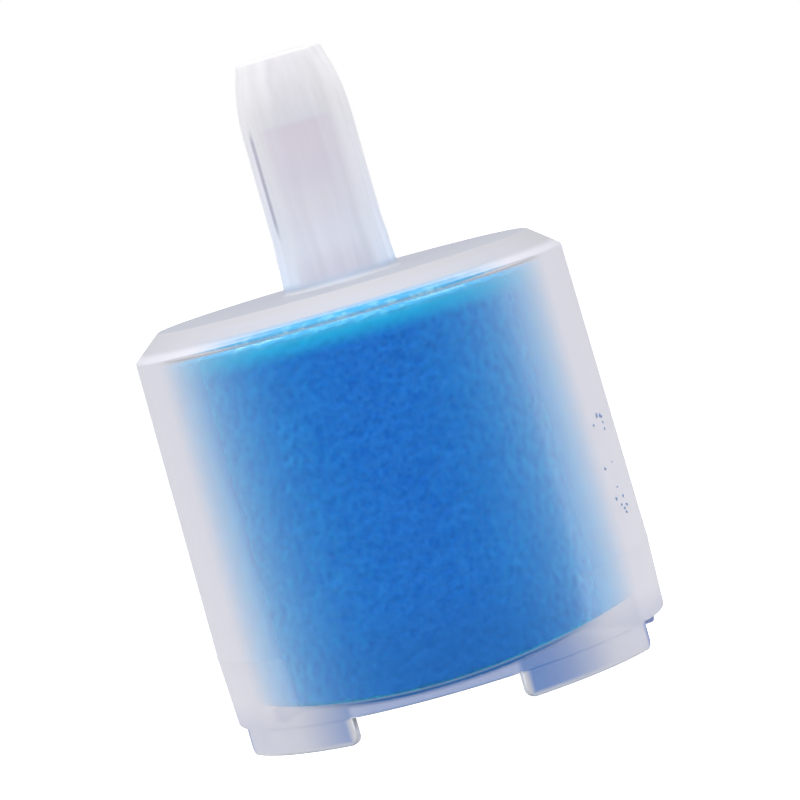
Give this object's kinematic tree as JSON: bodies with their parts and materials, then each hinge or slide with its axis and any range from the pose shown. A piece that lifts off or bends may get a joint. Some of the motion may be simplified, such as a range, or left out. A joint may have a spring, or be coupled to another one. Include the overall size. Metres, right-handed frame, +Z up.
{
  "type": "sponge filter",
  "caption": "Open-bottomed translucent cup with a hose stem on top and feet round its rim, filled by a blue foam block that pulls out.",
  "frame": {"origin": "on the common axis, at the height of the four feet's soles, which is the surface that the filter stands on", "axes": "+Z up along the axis, out through the hose stem; +X and -Y each through the middle of a gap between two feet"},
  "size_m": [0.05, 0.05, 0.0736],
  "materials": {
    "milky_plastic": "natural translucent polyethylene, lightly frosted by the mould",
    "blue_foam": "open-cell reticulated polyurethane filter foam, matt"
  },
  "bodies": {
    "cup": {"filter_cup": "milky_plastic"},
    "foam": {"foam_block": "blue_foam"}
  },
  "joints": [
    {"name": "foam_slide", "type": "slide", "parent": "cup", "child": "foam", "axis": [0, 0, -1], "range_m": [0, 0.05]}
  ]
}
